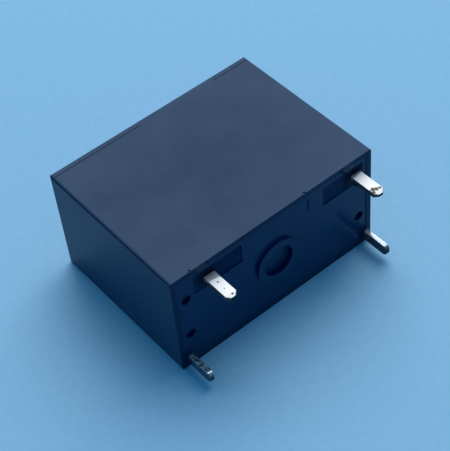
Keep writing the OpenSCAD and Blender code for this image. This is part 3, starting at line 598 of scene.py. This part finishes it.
# Painted shade: the rim, which faces the board, is toned darker, like the base
rim_face = add(tree, "MapRange", {0: facing.outputs[1], 1: rim_lean[0], 2: rim_lean[1]})
rim_shade_tone = add(tree, "Mix", {0: rim_face.outputs[0], 6: case_sheen_and_shade_tone.outputs[2], 7: linear("#06304d")},
               data_type="RGBA")
smooth_gloss = shader.inputs["Roughness"].links[0].from_socket
faces_gloss = add(tree, "Mix", {0: wide_face.outputs[0], 2: smooth_gloss, 3: etched_roughness})
plug(tree, shader, {"Base Color": rim_shade_tone.outputs[2], "Roughness": faces_gloss.outputs[0]})

# Sealing resin: epoxy run into the terminal pockets, round the pins and along the seam of base and case.
# It crept up walls and metal while it was wet, and set in smooth curves.
rim_proud = 0.06 * mm
base_face = rim_y + rim_proud
pocket_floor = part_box("sealing_resin")[1].y
resin_t = 0.1 * mm
pocket_z = (7.63 * mm, 9.58 * mm)
pocket_x = {"moving": (-8.01 * mm, -3.31 * mm), "fixed": (4.99 * mm, 9.29 * mm)}
pool_grid = (120, 56)
creep_l = 0.15 * mm
wall_creep = 0.06 * mm
blade_creep = 0.1 * mm
brim_t = 0.2 * mm
brim_reach = (0.1 * mm, 0.7 * mm)
ripple = 0.012 * mm
ripple_l = (0.55 * mm, 0.4 * mm)


def resin_pool(contact):
    """Pool in a pocket: brim full from the blade to the near end, and shallow towards the middle of the base.
    Its level also rises by c * exp(-d / l) with the distance d from a wall or blade.
    The last ring of points drops to the pocket's floor, and a flat sheet closes it below."""
    x0, x1 = pocket_x[contact]
    z0, z1 = pocket_z
    blade_x, _, blade_z = mounts[contact + "_contact_blade"]
    x = np.linspace(x0, x1, pool_grid[0])[:, None]
    z = np.linspace(z0, z1, pool_grid[1])[None, :]
    wall = np.minimum(np.minimum(x - x0, x1 - x), np.minimum(z - z0, z1 - z))
    beside = np.maximum(np.abs(x - blade_x) - blade_half[0], 0)
    above = np.maximum(np.abs(z - blade_z) - blade_half[1], 0)
    inward = np.maximum(-np.sign(blade_x) * (x - blade_x) - blade_half[0], 0)
    spread = np.hypot(inward, above / 2)
    full = 1 - np.clip((spread - brim_reach[0]) / (brim_reach[1] - brim_reach[0]), 0, 1)
    level = resin_t + (brim_t - resin_t) * full * full * (3 - 2 * full)
    level = level + ripple * np.sin(x / ripple_l[0] + 2 * np.sin(z / ripple_l[1]))
    level = level + wall_creep * np.exp(-wall / creep_l)
    level = level + blade_creep * np.exp(-np.hypot(beside, above) / creep_l)
    inside = np.pad(np.ones((pool_grid[0] - 2, pool_grid[1] - 2)), 1)
    top = np.stack(np.broadcast_arrays(x, pocket_floor - level * inside, z), axis=-1)
    bottom = np.stack(np.broadcast_arrays(x, pocket_floor + 0 * level, z), axis=-1)
    return np.concatenate([top, bottom[::-1]])


collar_r = 0.3 * mm
collar_h = 0.34 * mm
collar_l = 0.11 * mm
collar_rows = 14
collar_uneven = 0.12


def resin_collar(pin):
    """Collar of resin that climbs a pin: its height is h * exp(-d / l) at the distance d from the metal."""
    centre_x, _, centre_z = mounts[pin]
    share_x, share_z, normal_x, normal_z = rounded_section(flat=8, arc=8).T[:, None, :]
    distance = collar_r * np.linspace(0, 1, collar_rows)[:, None] ** 2
    uneven = 1 + collar_uneven * np.sin(3 * np.arctan2(share_z + normal_z, share_x + normal_x) + 1)
    height = collar_h * uneven * (np.exp(-distance / collar_l) - math.exp(-collar_r / collar_l))
    x = centre_x + share_x * pin_half[0] + normal_x * distance
    z = centre_z + share_z * pin_half[1] + normal_z * distance
    rows = np.stack(np.broadcast_arrays(x, base_face - height, z), axis=-1)
    middle = np.broadcast_to([centre_x, base_face - collar_h / 2, centre_z], rows[:1].shape)
    under = np.broadcast_to([centre_x, base_face + ripple, centre_z], rows[:1].shape)
    return np.concatenate([middle, rows, under])


seam_corner_r = 0.15 * mm
seam_leg = 0.032 * mm
seam_drift = 0.006 * mm
seam_waves = (7, 3.1)
seam_points = 120


def seam_fillet():
    """Concave fillet carried round the mouth of the case: its leg swells and thins slowly along the seam."""
    low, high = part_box("sealing_resin")
    centre = (low + high) / 2
    share_x, share_z, normal_x, normal_z = rounded_section(flat=seam_points, arc=6).T[:, :, None]
    half_x = (high.x - low.x) / 2 - seam_corner_r
    half_z = (high.z - low.z) / 2 - seam_corner_r
    wall_x = centre.x + share_x * half_x + normal_x * seam_corner_r
    wall_z = centre.z + share_z * half_z + normal_z * seam_corner_r
    run = np.arange(len(wall_x))[:, None]
    leg = seam_leg + seam_drift * (np.sin(run / seam_waves[0]) + np.sin(run / seam_waves[1] + 1)) / 2
    turn = np.linspace(0, np.pi / 2, 8)[None, :]
    inward = np.hstack([leg * (1 - np.sin(turn)), 0 * leg])
    upward = np.hstack([leg * (1 - np.cos(turn)), 0 * leg - ripple])
    return np.stack([wall_x - normal_x * inward, base_face - upward, wall_z - normal_z * inward], axis=-1)


# Epoxy: toned like the base where it is brim full; darker where it lies deep and where it climbs walls and metal,
# which is painted shade; nearly black round a blade, which is a painted shadow
swirl_size = 1.2 * mm
root_shade = (0.6 * mm, 1.6 * mm)
resin_roughness = (0.5, 0.65)
epoxy, tree, shader, place = start_finish(
    "cured_black_epoxy", {"IOR": 1.5, "Specular IOR Level": 0.08, "Specular Tint": linear("#9cc8ff")})
swirl = add(tree, "TexNoise", {"Vector": place, "Scale": 1 / swirl_size, "Detail": 2.0, "Distortion": 0.6})
depth = add(tree, "SeparateXYZ", {0: place})
rise = add(tree, "MapRange", {0: depth.outputs[1], 1: pocket_floor - resin_t, 2: pocket_floor - 3 * resin_t})
# Painted shade: darker where the pool lies deep and where it climbs walls and blades
resin_and_shade_tone = add(tree, "ValToRGB", {0: rise.outputs[0]})
stops = resin_and_shade_tone.color_ramp.elements
stops[0].color = linear("#012449")
stops[1].color = linear("#012144")
for brim in (0.5, 0.8):
    stops.new(brim).color = linear("#023252")
resin_and_shadow_colour = resin_and_shade_tone.outputs[0]
# Painted shadow: nearly black round the root of each blade, fading out by root_shade[1]
for contact in pocket_x:
    root_x, _, root_z = mounts[contact + "_contact_blade"]
    away = add(tree, "VectorMath", {0: place, 1: (root_x, base_face, root_z)}, operation="DISTANCE")
    shade = add(tree, "MapRange", {0: away.outputs["Value"], 1: root_shade[1], 2: root_shade[0]})
    root_shadow_mix = add(tree, "Mix", {0: shade.outputs[0], 6: resin_and_shadow_colour, 7: linear("#010b1e")},
                    data_type="RGBA")
    resin_and_shadow_colour = root_shadow_mix.outputs[2]
resin_gloss = add(tree, "MapRange", {0: swirl.outputs[0], 3: resin_roughness[0], 4: resin_roughness[1]})
plug(tree, shader, {"Base Color": resin_and_shadow_colour, "Roughness": resin_gloss.outputs[0]})
for contact in pocket_x:
    pool = surface("resin_pool_" + contact, resin_pool(contact), epoxy, (True, False))
    fit(pool, "resin", "sealing_resin")
for pin in ("coil_pin_left", "coil_pin_right"):
    collar = surface("resin_collar_" + pin, resin_collar(pin), epoxy, (False, True))
    fit(collar, "resin", "sealing_resin")
fillet = surface("resin_seam", seam_fillet(), epoxy, (True, True))
fit(fillet, "resin", "sealing_resin")

# Stage: a pale blue sheet under a large soft light from behind and above, in a dim room.
# Card: matt, with a faint mottle of its fibres.
floor_half = 0.4
floor_drop = 0.01 * mm
fibre_size = 0.6 * mm
floor_corners = np.array([[[-1, -1, 0], [-1, 1, 0]], [[1, -1, 0], [1, 1, 0]]])
paper, tree, shader, place = start_finish("pale_blue_card", {"Roughness": 0.9, "Specular IOR Level": 0.2})
fibre = add(tree, "TexNoise", {"Vector": place, "Scale": 1 / fibre_size, "Detail": 4.0})
card_tone = add(tree, "Mix", {0: fibre.outputs[0], 6: linear("#85b7d7"), 7: linear("#91c1e0")},
                data_type="RGBA")
plug(tree, shader, {"Base Color": card_tone.outputs[2]})
floor = surface("floor", floor_corners * floor_half - [0, 0, floor_drop], paper)

scene = bpy.context.scene
middle = Vector((0, -1, 5)) * mm
key_direction = Vector((0.45, 0.40, 0.80)).normalized()
key_distance = 0.6
key_size = 0.6
key_radiance = 3.9
key = bpy.data.lights.new("key_softbox", "AREA")
key.shape = "SQUARE"
key.color = linear("#fff1e9")[:3]
key.size = key_size
key.energy = key_radiance * math.pi * key_size ** 2
softbox = bpy.data.objects.new("key_softbox", key)
key_turn = key_direction.to_track_quat("Z", "Y").to_matrix().to_4x4()
softbox.matrix_world = Matrix.Translation(middle + key_direction * key_distance) @ key_turn
scene.collection.objects.link(softbox)

# The room is brightest round the lamp and dim on the far side.
# Seen directly or in a reflection, it is a pale backdrop.
room_strength = (0.46, 1.1)
room_spread = (-0.3, 1.0)
world = bpy.data.worlds.new("dim_room")
world.use_nodes = True
scene.world = world
tree = world.node_tree
looking = add(tree, "TexCoord", {}).outputs["Generated"]
lampward = add(tree, "VectorMath", {0: looking, 1: key_direction}, operation="DOT_PRODUCT")
room_level = add(tree, "MapRange", {0: lampward.outputs["Value"], 1: room_spread[0], 2: room_spread[1],
                                    3: room_strength[0], 4: room_strength[1]})
room = tree.nodes["Background"]
plug(tree, room, {"Color": linear("#4596bd"), "Strength": room_level.outputs[0]})
backdrop = add(tree, "Background", {"Color": linear("#a9d0ec"), "Strength": 1.0})
sight = add(tree, "LightPath", {})
mirrored = add(tree, "Math", {0: sight.outputs["Is Glossy Ray"], 1: sight.outputs["Is Transmission Ray"]},
               operation="MAXIMUM")
shown = add(tree, "Math", {0: sight.outputs["Is Camera Ray"], 1: mirrored.outputs[0]}, operation="MAXIMUM")
seen = add(tree, "MixShader", {0: shown.outputs[0], 1: room.outputs[0], 2: backdrop.outputs[0]})
plug(tree, tree.nodes["World Output"], {"Surface": seen.outputs[0]})

# Camera: close above the terminal side, turned a little in its own picture
aim = Vector((-0.70, -2.17, 5.25)) * mm
distance = 106.8 * mm
azimuth = math.radians(-35.08)
elevation = math.radians(47.92)
roll = math.radians(-6.34)
level_reach = math.cos(elevation)
toward = Vector((math.sin(azimuth) * level_reach, -math.cos(azimuth) * level_reach, math.sin(elevation)))
camera = bpy.data.objects.new("camera", bpy.data.cameras.new("camera"))
camera.data.lens = 105.67
camera.data.sensor_width = 36
camera.data.clip_start = 1 * mm
camera.data.clip_end = 10
turned = toward.to_track_quat("Z", "Y").to_matrix().to_4x4() @ Matrix.Rotation(roll, 4, "Z")
camera.matrix_world = Matrix.Translation(aim + toward * distance) @ turned
scene.collection.objects.link(camera)
scene.camera = camera
scene.view_settings.view_transform = "Standard"
